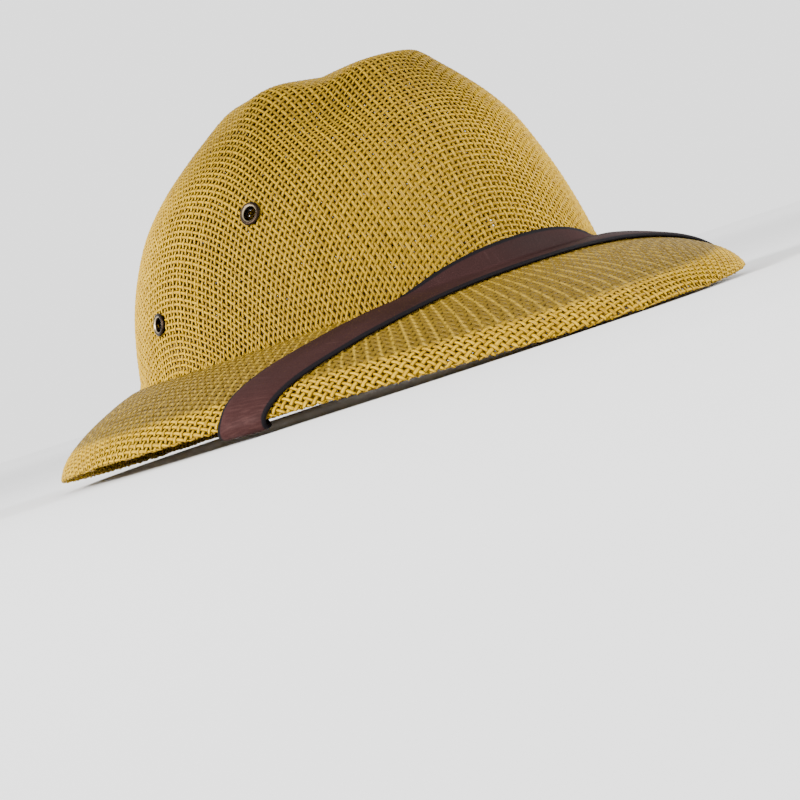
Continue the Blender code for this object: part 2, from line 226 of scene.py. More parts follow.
# Colours
STRAW_DARK = (0.20, 0.104, 0.001, 1)
STRAW_LIGHT = (0.38, 0.215, 0.0015, 1)
STRAW_STREAK = (0.64, 0.40, 0.008, 1)
STRAW_BLOTCH = (0.12, 0.048, 0.002, 1)
STRAW_DIP_SHADE = (0.05, 0.020, 0.001, 1)
STRAW_BORDER_SHADE = (0.045, 0.018, 0.001, 1)
STRAW_SHADED = (0.070, 0.042, 0.003, 1)
STRAW_RIB_HIGHLIGHT = (0.48, 0.31, 0.03, 1)
CLOTH_DARK = (0.17, 0.100, 0.026, 1)
CLOTH_LIGHT = (0.25, 0.155, 0.045, 1)
CLOTH_GAP_SHADE = (0.05, 0.026, 0.006, 1)
STRAP_DARK = (0.017, 0.0072, 0.0065, 1)
STRAP_LIGHT = (0.031, 0.0132, 0.0125, 1)
STRAP_CREASE = (0.060, 0.030, 0.028, 1)
STRAP_FOLD = (0.040, 0.013, 0.012, 1)
STRAP_WEAR_AND_SHEEN = (0.110, 0.052, 0.046, 1)
STRAP_EDGE = (0.006, 0.005, 0.006, 1)
BRONZE_DARK = (0.010, 0.006, 0.004, 1)
BRONZE_LIGHT = (0.030, 0.018, 0.010, 1)
BRONZE_HIGHLIGHT = (0.52, 0.42, 0.27, 1)
THREAD_DARK = (0.060, 0.036, 0.018, 1)
THREAD_LIGHT = (0.12, 0.075, 0.04, 1)
FLOOR_DARK = (0.82, 0.82, 0.82, 1)
FLOOR_LIGHT = (0.85, 0.85, 0.85, 1)
FLOOR_FAR = (0.98, 0.98, 0.98, 1)
WHITE = (1.0, 1.0, 1.0, 1)

# Floor and lamps
FLOOR_HALF = 12.0
FLOOR_ROWS = 7
LAMP_AIM_HEIGHT = 0.06

# Camera
CAMERA_AZIMUTH = -36.0
CAMERA_ELEVATION = -1.5
CAMERA_ROLL = 18.2
CAMERA_DISTANCE = 1.495
CAMERA_LENS = 144.6
CAMERA_SENSOR = 36
CAMERA_CLIP = (0.05, 60)
CAMERA_CENTRE = (0.0, 0.006, 0.065)
AIM_RIGHT = -0.0045
AIM_UP = -0.0720


# The outside

def oval(angle, half, front, rear, front_taper=0.0, rear_taper=0.0):
    ahead = np.cos(angle) > 0
    keep = 1 - np.where(ahead, front_taper, rear_taper) * np.sin(2 * angle) ** 2
    return -half * np.sin(angle) * keep, -np.where(ahead, front, rear) * np.cos(angle) * keep


def rim_lift(angle):
    flat = math.sin(math.radians(REST_FLAT_ANGLE)) ** 2
    return RIM_SIDE_LIFT * np.maximum(np.sin(angle) ** 2 - flat, 0) / (1 - flat)


def smooth_step(low, high, value):
    t = np.clip((value - low) / (high - low), 0, 1)
    return t * t * (3 - 2 * t)


def unit(vectors):
    return vectors / np.maximum(np.linalg.norm(vectors, axis=-1, keepdims=True), 1e-12)


def lengths_along(points):
    """Length of a line of points up to each of them."""
    return np.concatenate([[0], np.cumsum(np.linalg.norm(np.diff(points, axis=0), axis=-1))])


def crown_row(angle, reach, rise):
    """Points of one level of the crown, with the dents pushed in towards its core."""
    half_length = CROWN_HALF_LENGTH * reach
    x, y = oval(angle, CROWN_HALF_WIDTH * reach, half_length, half_length)
    middle_y = FOOT_CENTRE_Y - CROWN_LEAN * rise ** 3
    row = np.stack([x, y + middle_y, np.full_like(x, BRIM_DROP + CROWN_HEIGHT * rise)], -1)
    core = np.array([0, middle_y, BRIM_DROP + DENT_CORE_RISE * CROWN_HEIGHT])
    for degrees, dent_rise, turn_spread, rise_spread, depth in CROWN_DENTS:
        turn = np.angle(np.exp(1j * (angle - math.radians(degrees))))
        fall = np.exp(-(turn / math.radians(turn_spread)) ** 2
                      - ((rise - dent_rise) / rise_spread) ** 2)
        near_top = smooth_step(0.0, DENT_FADE_REACH, reach)
        row = row + unit(core - row) * (depth * CROWN_HEIGHT * fall * near_top)[:, None]
    return row


def brim_row(angle, share, drop):
    foot_x, foot_y = oval(angle, CROWN_HALF_WIDTH, CROWN_HALF_LENGTH, CROWN_HALF_LENGTH)
    rim_x, rim_y = oval(angle, RIM_HALF_WIDTH, RIM_FRONT_REACH, RIM_REAR_REACH,
                        FRONT_TAPER, REAR_TAPER)
    x = foot_x + (rim_x - foot_x) * share
    y = foot_y + FOOT_CENTRE_Y + (rim_y + RIM_CENTRE_Y - foot_y - FOOT_CENTRE_Y) * share
    return np.stack([x, y, BRIM_DROP + (rim_lift(angle) - BRIM_DROP) * drop], -1)


def smooth_through(rows, steps):
    """Points of smooth curves through the given rows, with so many steps from each to the next."""
    rows = np.asarray(rows, float)
    ends = np.concatenate([2 * rows[:1] - rows[1:2], rows, 2 * rows[-1:] - rows[-2:-1]])
    curve = []
    for a, b, c, d in zip(ends, ends[1:], ends[2:], ends[3:]):
        for step in range(steps):
            t = step / steps
            bend = (2 * a - 5 * b + 4 * c - d) * t ** 2 + (3 * b - a - 3 * c + d) * t ** 3
            curve.append((2 * b + (c - a) * t + bend) / 2)
    curve.append(rows[-1])
    return np.array(curve)


def evenly(curves, steps):
    """Each column of points cut into equal steps of length, and the columns' lengths."""
    gaps = np.linalg.norm(np.diff(curves, axis=0), axis=-1)
    lengths = np.concatenate([np.zeros((1, curves.shape[1])), np.cumsum(gaps, axis=0)])
    out = np.empty((steps + 1, curves.shape[1], 3))
    for column in range(curves.shape[1]):
        marks = np.linspace(0, lengths[-1, column], steps + 1)
        for axis in range(3):
            out[:, column, axis] = np.interp(marks, lengths[:, column], curves[:, column, axis])
    return out, lengths[-1]


def make_outside():
    """Grid of points and normals over crown and brim, and the lengths of both at each angle."""
    angle = np.linspace(0, math.tau, TURN_STEPS + 1)
    rows = [crown_row(angle, reach, rise) for reach, rise in CROWN_OUTLINE]
    rows += [brim_row(angle, share, drop) for share, drop in BRIM_OUTLINE]
    curves = smooth_through(rows, CURVE_STEPS)
    foot = (len(CROWN_OUTLINE) - 1) * CURVE_STEPS
    crown, crown_lengths = evenly(curves[:foot + 1], CROWN_STEPS)
    brim, brim_lengths = evenly(curves[foot:], BRIM_STEPS)
    points = np.concatenate([crown, brim[1:]])
    along = np.gradient(points, axis=0)
    ring = points[:, :-1]
    around = np.roll(ring, -1, axis=1) - np.roll(ring, 1, axis=1)
    around = np.concatenate([around, around[:, :1]], axis=1)
    normals = unit(np.cross(around, along))
    normals[0] = unit(normals[1].mean(axis=0))
    return points, normals, crown_lengths, brim_lengths


POINTS, NORMALS, CROWN_LENGTHS, BRIM_LENGTHS = make_outside()


def by_angle(table, angle):
    return np.interp(np.mod(angle, math.tau), np.linspace(0, math.tau, TURN_STEPS + 1), table)


def station_at(angle, distance):
    """Station so far out from the crown's foot, or up the crown if negative."""
    return np.where(distance > 0, 1 + distance / by_angle(BRIM_LENGTHS, angle),
                    1 + distance / by_angle(CROWN_LENGTHS, angle))


def lie(angle, station):
    """Places and normals on the outside."""
    turn = np.mod(angle, math.tau) / math.tau * TURN_STEPS
    i = np.minimum(turn.astype(int), TURN_STEPS - 1)
    a = (turn - i)[..., None]
    level = np.where(station < 1, station * CROWN_STEPS, CROWN_STEPS + (station - 1) * BRIM_STEPS)
    level = np.clip(level, 0, CROWN_STEPS + BRIM_STEPS)
    j = np.minimum(level.astype(int), CROWN_STEPS + BRIM_STEPS - 1)
    b = (level - j)[..., None]
    found = []
    for table in (POINTS, NORMALS):
        near = table[j, i] * (1 - a) + table[j, i + 1] * a
        far = table[j + 1, i] * (1 - a) + table[j + 1, i + 1] * a
        found.append(near * (1 - b) + far * b)
    return found[0], unit(found[1])


def sheet(angle, station, depth):
    """Places so deep under the outside."""
    point, normal = lie(angle, station)
    return point - normal * depth


def eyelet_seat(degrees, rise, side):
    """Place and outward direction of an eyelet; side -1 mirrors it to the wearer's left."""
    stations = np.linspace(0, 1, SEAT_SEARCH_STEPS + 1)
    points, normals = lie(np.full_like(stations, math.radians(degrees)), stations)
    spot = int(np.argmax(points[:, 2] <= BRIM_DROP + CROWN_HEIGHT * rise))
    mirror = np.array([side, 1, 1])
    return points[spot] * mirror, normals[spot] * mirror


SEATS = {
    f"eyelet_{side_name}_{name}": eyelet_seat(degrees, rise, side)
    for side, side_name in ((1, "right"), (-1, "left"))
    for name, (degrees, rise) in EYELETS.items()}


# Meshes

def new_mesh(name, points, faces, flat=False):
    """Mesh that is shaded smooth, apart from the faces that flat marks."""
    mesh = bpy.data.meshes.new(name)
    mesh.from_pydata(np.asarray(points).tolist(), [], np.asarray(faces).tolist())
    smooth = np.ones(len(mesh.polygons), bool) & ~np.asarray(flat)
    mesh.polygons.foreach_set("use_smooth", smooth)
    made = bpy.data.objects.new(name, mesh)
    bpy.context.collection.objects.link(made)
    return made


def give(piece, name, values):
    """Stores a number or a vector at each point for the materials."""
    values = np.asarray(values, np.float32)
    kind, field = ("FLOAT", "value") if values.ndim == 1 else ("FLOAT_VECTOR", "vector")
    layer = piece.data.attributes.new(name, kind, "POINT")
    layer.data.foreach_set(field, values.ravel())


def grid_faces(rows, columns, closed_rows=False, closed_columns=False):
    i, j = np.meshgrid(np.arange(rows if closed_rows else rows - 1),
                       np.arange(columns if closed_columns else columns - 1), indexing="ij")
    i, j = i.ravel(), j.ravel()
    k, l = (i + 1) % rows, (j + 1) % columns
    return np.stack([i * columns + j, i * columns + l, k * columns + l, k * columns + j], -1)


# The weave

def uneven(strands, samples, each, slow, length):
    """Small shifts of a set of strands: one for each strand, and a slow wander along it."""
    shifts = chance.normal(0, each, (strands, 1)) * np.ones((1, samples))
    knots = max(samples // length, 4)
    wander = chance.normal(0, slow, (strands, knots))
    marks, places = np.linspace(0, 1, samples), np.linspace(0, 1, knots)
    return shifts + np.array([np.interp(marks, places, row) for row in wander])


def cloth_grid(cells):
    """Cloth places in cells at every crossing and half way between."""
    steps = np.arange(-2 * cells, 2 * cells + 1) / 2
    u, v = np.meshgrid(steps, steps, indexing="ij")
    count = 2 * cells + 1
    samples = 2 * count - 1
    whole, halves = np.arange(count), np.arange(0, count - 0.5, 0.5)
    shift_u, shift_v = (uneven(count, samples, CELL_WANDER, CELL_WANDER, CELL_WANDER_LENGTH)
                        for _ in range(2))
    for column in range(samples):
        u[:, column] += np.interp(halves, whole, shift_u[:, column])
        v[column, :] += np.interp(halves, whole, shift_v[:, column])
    return u, v


def crown_place(u, v):
    """Angle and length from the top for places on the crown's cloth, found by repeated steps."""
    lengths, along, across, twist = np.array(CROWN_CLOTH).T
    fine = np.linspace(0, lengths[-1], CROWN_TABLE_STEPS)
    tables = []
    for slopes in (along, across):
        slope = np.interp(fine, lengths, slopes)
        cells = np.cumsum((slope[1:] + slope[:-1]) / 2 * fine[1])
        tables.append((np.concatenate([[0], cells]), slope))
    reach, turn = np.hypot(u, v), np.arctan2(v, u)
    corner, length = turn.copy(), reach / FIRST_CELLS_PER_METRE
    for _ in range(CROWN_ROUNDS):
        share = np.sin(2 * corner) ** 2
        have = slope = 0
        for (cells, slopes), part in zip(tables, (1 - share, share)):
            have = have + np.interp(length, fine, cells) * part
            slope = slope + np.interp(length, fine, slopes) * part
        beyond = np.maximum(length - fine[-1], 0)
        length = length - (have + beyond * slope - reach) / slope
        corner = turn - np.interp(length, lengths, twist) * np.sin(4 * corner)
    return corner - CROWN_CLOTH_TURN, length


def brim_place(u, v):
    """Angle, and distance in from the edge, for places on the brim's cloth."""
    reach, turn = np.hypot(u, v), np.arctan2(v, u)
    angle = turn.copy()
    for _ in range(BRIM_ROUNDS):
        angle = turn - math.radians(BRIM_TWIST) * np.cos(2 * angle)
    return angle, (RIM_RADIUS_CELLS - reach) / BRIM_CELLS_PER_METRE


def back_half(angle):
    """1 on the side turned away from the photograph, where the straw is drawn tighter."""
    return smooth_step(*UNSEEN_FACING, -np.cos(angle - math.radians(SEEN_ANGLE)))


def outside_eyelets(points):
    """False at points that an eyelet's hole takes away."""
    keep = np.ones(points.shape[:-1], bool)
    for place, direction in SEATS.values():
        off = points - place
        height = (off * direction).sum(-1)
        away = np.linalg.norm(off - height[..., None] * direction, axis=-1)
        keep &= ~((away < EYELET_HOLE) & (np.abs(height) < EYELET_HOLE_REACH))
    return keep


def crown_cloth():
    """Crown's cloth: points, normals, inside, fill, shade, crimp and ribbed."""
    angle, length = crown_place(*cloth_grid(CROWN_CELLS))
    crown_lengths = by_angle(CROWN_LENGTHS, angle)
    length = length * np.maximum(crown_lengths / CROWN_CLOTH_REACH, 1)
    over = length - crown_lengths
    station = station_at(angle, over)
    points, normals = lie(angle, np.maximum(station, 0))
    depth = STRAW_THICKNESS / 2 + JOIN_DIP * smooth_step(*JOIN_SPAN, over)
    points = points - normals * depth[..., None]
    inside = (over < CROWN_PAST_FOOT) & outside_eyelets(points)
    front = smooth_step(*LOW_FRONT_FACING, np.cos(angle - math.radians(LOW_FRONT_ANGLE)))
    low_front = front * smooth_step(*LOW_FRONT_STATIONS, station)
    fill = CROWN_FILL + np.maximum(CROWN_FRONT_FILL * low_front,
                                   CROWN_BACK_FILL * back_half(angle))
    # Painted shade: darker over the crown's top and on its middle face between the lit sides.
    facing = smooth_step(*SHADED_FACING, np.cos(angle - math.radians(SHADED_ANGLE)))
    shade = np.maximum(CROWN_TOP_SHADE * smooth_step(*SHADED_STATIONS, station),
                       CROWN_FACE_SHADE * facing)
    crimp = np.full_like(fill, CROWN_CRIMP)
    return points, normals, inside, fill, shade, crimp, np.zeros_like(fill)


def brim_cloth():
    """Brim's cloth, over the top, round the edge and turned under: the same seven values."""
    angle, inward = brim_place(*cloth_grid(BRIM_CELLS))
    lengths = by_angle(BRIM_LENGTHS, angle)
    middle = STRAW_THICKNESS / 2
    back = EDGE_TURN + middle
    from_foot = lengths - np.maximum(inward, back)
    points, normals = lie(angle, station_at(angle, from_foot))
    depth = middle + JOIN_DIP * smooth_step(*JOIN_SPAN[::-1], from_foot)
    points = points - normals * depth[..., None]

    edge, edge_normal = lie(angle, np.full_like(angle, 2.0))
    before, _ = lie(angle, np.full_like(angle, NEAR_EDGE_STATION))
    out = unit(edge - before)
    bend = np.clip((back - inward) / EDGE_TURN, 0, math.pi)[..., None]
    turned_normal = edge_normal * np.cos(bend) + out * np.sin(bend)
    centre = edge - out * back - edge_normal * (middle + EDGE_TURN)
    turned = centre + EDGE_TURN * turned_normal

    hem = back - inward - math.pi * EDGE_TURN
    under, under_normal = lie(angle, 2 - (back + np.maximum(hem, 0)) / lengths)
    under = under - under_normal * (3 * middle)

    on_turn = (inward < back)[..., None]
    on_hem = (hem > 0)[..., None]
    points = np.where(on_hem, under, np.where(on_turn, turned, points))
    normals = np.where(on_hem, -under_normal, np.where(on_turn, turned_normal, normals))
    inside = (lengths - inward > -BRIM_PAST_FOOT) & (hem < HEM_WIDTH - back)
    flat = smooth_step(*FLAT_BRIM_SPAN, inward)
    tight = np.maximum(flat, smooth_step(*TIGHT_HEM_SPAN, inward))
    fill = BRIM_FILL + BRIM_TIGHT_FILL * np.maximum(tight, back_half(angle))
    crimp = BRIM_CRIMP * (1 - FLAT_BRIM_CRIMP_LOSS * flat)
    # The flat upper brim's mask also gives its painted shade and painted rib highlights.
    return points, normals, inside, fill, flat, crimp, flat


def tube_faces(inside):
    """Faces of four-sided tubes along the rows of kept samples, and which of them are end caps."""
    number = np.full(inside.shape, -1)
    number[inside] = np.arange(int(inside.sum())) * 4
    joined = inside[:, :-1] & inside[:, 1:]
    first, second = number[:, :-1][joined], number[:, 1:][joined]
    faces = [np.stack([first + k, first + (k + 1) % 4, second + (k + 1) % 4, second + k], -1)
             for k in range(4)]
    starts = number[:, 1:][inside[:, 1:] & ~inside[:, :-1]]
    stops = number[:, :-1][inside[:, :-1] & ~inside[:, 1:]]
    faces.append(np.stack([starts + k for k in (3, 2, 1, 0)], -1))
    faces.append(np.stack([stops + k for k in range(4)], -1))
    faces = np.concatenate(faces)
    return faces, np.arange(len(faces)) >= len(faces) - len(starts) - len(stops)


def strands(name, cloth, side):
    """One set of strands as flattened tubes that pass over and under the other set."""
    width_vector = np.gradient(cloth[0], axis=0)[::2] * 2
    points, normals, inside, fill, shade, crimp, ribbed = (values[::2] for values in cloth)
    count, samples = inside.shape
    alone = inside.copy()
    alone[:, 1:-1] &= ~(inside[:, :-2] | inside[:, 2:])
    inside = inside & ~alone
    along = unit(np.gradient(points, axis=1))
    across = unit(np.cross(normals, along))
    spacing = np.abs((width_vector * across).sum(-1))
    strand, step = np.meshgrid(np.arange(count), np.arange(samples), indexing="ij")
    up_or_down = np.where((strand + step // 2) % 2 == 0, 1.0, -1.0)
    over = np.where(step % 2 == 0, up_or_down, 0.0) * side
    each = chance.uniform(*STRAND_WIDTH_SPREAD, (count, 1))
    width = np.minimum(spacing * fill * each, WIDEST_STRAND) * (1 - CROSSING_NARROWS * np.abs(over))
    thick = STRAND_THICKNESS * chance.uniform(*STRAND_THICKNESS_SPREAD, (count, 1))
    centre = points + normals * (over * crimp)[..., None]
    half_width = across * (width / 2)[..., None]
    half_thick = normals * (thick / 2)[..., None]
    ring = np.stack([centre + half_width, centre + half_thick,
                     centre - half_width, centre - half_thick], 2)
    piece = new_mesh(name, ring[inside].reshape(-1, 3), *tube_faces(inside))

    def at_corners(values):
        return np.broadcast_to(values, inside.shape + (4,))[inside]

    tone = chance.uniform(0, 1, (count, 1)) * TONE_SHARE_OF_STRAND
    wander = np.clip(uneven(count, samples, 0, TONE_WANDER, TONE_WANDER_LENGTH) + 0.5, 0, 1)
    tone = tone + (1 - TONE_SHARE_OF_STRAND) * wander
    # Odd strands take only part of the painted shade, except on the flat upper brim.
    odd_shade = ODD_STRAND_SHADE + (1 - ODD_STRAND_SHADE) * ribbed
    shade = shade * np.where(strand % 2 == 0, 1.0, odd_shade)
    level = over * 0.5 + 0.5
    for layer, values in (("tone", tone), ("level", level), ("shade", shade), ("ribbed", ribbed)):
        give(piece, layer, at_corners(values[..., None]).ravel())
    length = np.cumsum(np.linalg.norm(np.gradient(points, axis=1), axis=-1), axis=1)
    fibre = np.stack([at_corners(np.array([1.0, 0.0, -1.0, 0.0])), at_corners(length[..., None]),
                      at_corners(strand[..., None] * FIBRE_SHIFT)], -1)
    give(piece, "fibre", fibre.reshape(-1, 3))
    return piece


def weave(name, cloth):
    """Both sets of strands of a cloth."""
    lengthwise = strands(name + "_lengthwise", cloth, 1)
    crosswise = strands(name + "_crosswise", [np.swapaxes(values, 0, 1) for values in cloth], -1)
    return [lengthwise, crosswise]


# Lining and its seam

def lining():
    """Cloth ring under the brim from the turned edge to a little way up the crown's inside."""
    angle = np.linspace(0, math.tau, LINING_SIDES + 1)[:-1]
    seam = 2 - (HEM_WIDTH + CLEARANCE) / by_angle(BRIM_LENGTHS, angle)
    rows = [1 + (seam - 1) * share for share in np.linspace(1, 0, LINING_ROWS_OUT)]
    rows += [np.full_like(angle, station)
             for station in np.linspace(1, LINING_TOP_STATION, LINING_ROWS_UP)[1:]]
    stations = np.array(rows)
    angles = np.broadcast_to(angle, stations.shape)
    outer = sheet(angles, stations, STRAW_THICKNESS + CLEARANCE)
    inner = sheet(angles, stations, SEAT_DEPTH)
    grid = np.concatenate([outer, inner[::-1]])
    faces = grid_faces(len(grid), len(angle), closed_rows=True, closed_columns=True)
    piece = new_mesh("brim_cloth", grid.reshape(-1, 3), faces[:, ::-1])
    shape = grid.shape[:2]
    cloth = np.stack([np.broadcast_to(angle * LINING_MEAN_RADIUS, shape),
                      np.broadcast_to(lengths_along(grid[:, 0])[:, None], shape),
                      np.zeros(shape)], -1)
    give(piece, "cloth", cloth.reshape(-1, 3))
    return piece


def seam():
    """Row of thread stitches along the turned edge, on the brim's underside."""
    points, faces = [], []
    arch = np.sin(np.linspace(0, math.pi, STITCH_RINGS))
    radius = THREAD_RADIUS * (THREAD_END_SHARE + (1 - THREAD_END_SHARE) * arch)
    block = grid_faces(STITCH_RINGS, THREAD_SIDES, closed_columns=True)[:, ::-1]
    for stitch in range(STITCHES):
        marks = (stitch + np.linspace(*STITCH_SPAN, STITCH_RINGS)) * math.tau / STITCHES
        inward = STITCH_IN_FROM_EDGE + chance.normal(0, STITCH_WANDER)
        place, normal = lie(marks, 2 - inward / by_angle(BRIM_LENGTHS, marks))
        centre = place - normal * (STITCH_DEPTH + STITCH_ARCH * arch)[:, None]
        along = unit(np.gradient(centre, axis=0))
        across = unit(np.cross(normal, along))
        faces += (block + len(points)).tolist()
        for ring in range(STITCH_RINGS):
            for side in range(THREAD_SIDES):
                turn = math.tau * side / THREAD_SIDES
                out = across[ring] * math.cos(turn) + normal[ring] * math.sin(turn)
                points.append(centre[ring] + radius[ring] * out)
    return new_mesh("hem_stitches", points, faces)


# Eyelets

def eyelet(name):
    """Turned eyelet: rolled flange outside, barrel, and washer inside."""
    place, direction = SEATS[name]
    outline = smooth_through(EYELET_OUTLINE, 2)
    turn = np.linspace(0, math.tau, EYELET_SIDES + 1)[:-1]
    points = np.array([[(r * math.cos(t), r * math.sin(t), h) for t in turn] for r, h in outline])
    tilt = Vector(direction).to_track_quat("Z", "Y").to_matrix()
    turned = points.reshape(-1, 3) @ np.array(tilt).T + place
    faces = grid_faces(len(points), EYELET_SIDES, closed_rows=True, closed_columns=True)
    made = new_mesh(name.replace("eyelet", "turned_eyelet"), turned, faces)
    radius, height = np.hypot(points[..., 0], points[..., 1]), points[..., 2]
    # Painted highlight: a thin bright ring round the flange's rolled inner curve.
    lightened = np.exp(-((radius - EYELET_HIGHLIGHT_RADIUS) / EYELET_HIGHLIGHT_WIDTH) ** 2)
    give(made, "bright", (lightened * smooth_step(*EYELET_HIGHLIGHT_HEIGHTS, height)).ravel())
    return made


# Strap

def strap_middle():
    """Angles, and distances from the crown's foot, along the strap's middle over the brim."""
    rows = []
    for degrees, share in STRAP_OVER_BRIM:
        angle = math.radians(degrees)
        rows.append(np.array([angle, share * float(by_angle(BRIM_LENGTHS, angle))]))
    rows.append(2 * rows[-1] - rows[-2])
    mirrored = np.array([-rows[1][0], rows[1][1]])
    return smooth_through([mirrored] + rows, STRAP_CURVE_STEPS)[STRAP_CURVE_STEPS:].T


def strap_column(offset):
    """One lengthwise line of the strap's inner face over the brim, cut off at the edge."""
    angle, distance = strap_middle()
    behind, ahead = (sheet(turned, station_at(turned, distance), 0)
                     for turned in (angle - STRAP_TURN_STEP, angle + STRAP_TURN_STEP))
    around = np.linalg.norm(ahead - behind, axis=-1) / (2 * STRAP_TURN_STEP)
    turn = np.gradient(angle) * around
    out = np.gradient(distance)
    norm = np.hypot(turn, out)
    line = np.stack([angle + out / norm * offset / around, distance - turn / norm * offset], -1)
    beyond = line[:, 1] - by_angle(BRIM_LENGTHS, line[:, 0])
    last = int(np.argmax(beyond > 0))
    share = -beyond[last - 1] / (beyond[last] - beyond[last - 1])
    line = np.concatenate([line[:last], [line[last - 1] * (1 - share) + line[last] * share]])
    line[0, 0] = 0
    lengths = lengths_along(sheet(line[:, 0], station_at(line[:, 0], line[:, 1]), 0))
    marks = lengths[-1] * (1 - np.linspace(1, 0, STRAP_ROWS_OVER) ** STRAP_ROW_CROWDING)
    angles, distances = (np.interp(marks, lengths, values) for values in line.T)
    return sheet(angles, station_at(angles, distances), -STRAP_LIFT), angles[-1]


def strap_under(offset, rim_angle):
    """The same line round the brim's edge, under it and up to the crown's inside."""
    edge, normal = lie(np.array([rim_angle]), np.array([2.0]))
    outer = edge[0]
    inner = outer - normal[0] * 2 * STRAW_THICKNESS
    inner[2] = rim_lift(rim_angle)
    half = (outer - inner) / 2
    bend = np.linspace(0, math.pi, STRAP_ROWS_ROUND)[1:, None]
    down = np.array([0, 0, -STRAP_FOLD_SLACK])
    sag = np.sin(bend) ** STRAP_FOLD_ROUNDING * down
    turned = (outer + inner) / 2 + np.cos(bend) * half * STRAP_FOLD_SPREAD + sag
    fold_end = inner - unit(half) * STRAP_FOLD_SLACK
    mouth = math.radians(STRAP_MOUTH_ANGLE) + offset / CROWN_HALF_LENGTH
    stations = np.concatenate([np.linspace(STRAP_MOUTH_STATION, 1, STRAP_ROWS_MOUTH),
                               np.linspace(1, LINING_TOP_STATION, STRAP_ROWS_TAB)[1:]])
    tab = sheet(np.full_like(stations, mouth), stations, SEAT_DEPTH + CLEARANCE)
    run = fold_end + (tab[0] - fold_end) * np.linspace(0, 1, STRAP_ROWS_UNDER)[:-1, None]
    return np.concatenate([turned[:-1], run, tab])


def strap():
    """Whole strap: the right half, its mirror image, both faces and the two ends."""
    columns = np.linspace(-1, 1, STRAP_COLUMNS)
    columns = np.sign(columns) * np.abs(columns) ** STRAP_COLUMN_CROWDING
    right = []
    for share in columns:
        offset = share * STRAP_WIDTH / 2
        over, rim_angle = strap_column(offset)
        right.append(np.concatenate([over, strap_under(offset, rim_angle)]))
    right = np.array(right).transpose(1, 0, 2)
    eased = STRAP_ROWS_OVER - STRAP_ROWS_EASED
    for _ in range(STRAP_EASINGS):
        right[eased:-3] = (right[eased - 1:-4] + 2 * right[eased:-3] + right[eased + 1:-2]) / 4
    left = right[:0:-1] * np.array([-1, 1, 1])
    grid = np.concatenate([left, right])

    along, across = np.gradient(grid, axis=0), np.gradient(grid, axis=1)
    normals = unit(np.cross(across, along))
    fullness = 1 - np.abs(columns) ** STRAP_FULLNESS_POWER
    top = STRAP_EDGE_SHARE + (1 - STRAP_EDGE_SHARE) * fullness
    bottom = STRAP_EDGE_LIFT_SHARE * (1 - fullness)
    outer = grid + normals * (STRAP_THICKNESS * top)[None, :, None]
    inner = grid + normals * (STRAP_THICKNESS * bottom)[None, :, None]
    loop = np.concatenate([inner, outer[:, ::-1]], axis=1)
    rows, around = loop.shape[:2]
    caps = []
    for base, flip in ((0, 1), ((rows - 1) * around, -1)):
        for c in range(STRAP_COLUMNS - 1):
            cap = [base + c, base + c + 1, base + around - 2 - c, base + around - 1 - c]
            caps.append(cap[::flip])
    faces = np.concatenate([grid_faces(rows, around, closed_columns=True), np.array(caps)])
    piece = new_mesh("strap_band", loop.reshape(-1, 3), faces[:, ::-1])

    lengths = lengths_along(grid[:, STRAP_COLUMNS // 2])
    sides = np.concatenate([columns, columns[::-1]])
    face = np.repeat([0.0, 1.0], STRAP_COLUMNS)
    shape = (rows, around)
    where = np.stack([np.broadcast_to(sides * STRAP_WIDTH / 2, shape),
                      np.broadcast_to(lengths[:, None], shape), np.broadcast_to(face, shape)], -1)
    give(piece, "strap", where.reshape(-1, 3))
    give(piece, "edge", np.broadcast_to(np.abs(sides) ** STRAP_EDGE_POWER, shape).ravel())
    folds = lengths[[len(left) - STRAP_ROWS_OVER + 1, len(left) + STRAP_ROWS_OVER - 1]]
    near = np.exp(-(np.abs(lengths[:, None] - folds).min(axis=1) / STRAP_FOLD_WEAR_AND_SHEEN_REACH) ** 2)
    give(piece, "fold", np.broadcast_to(near[:, None], shape).ravel())
    return piece


# Materials

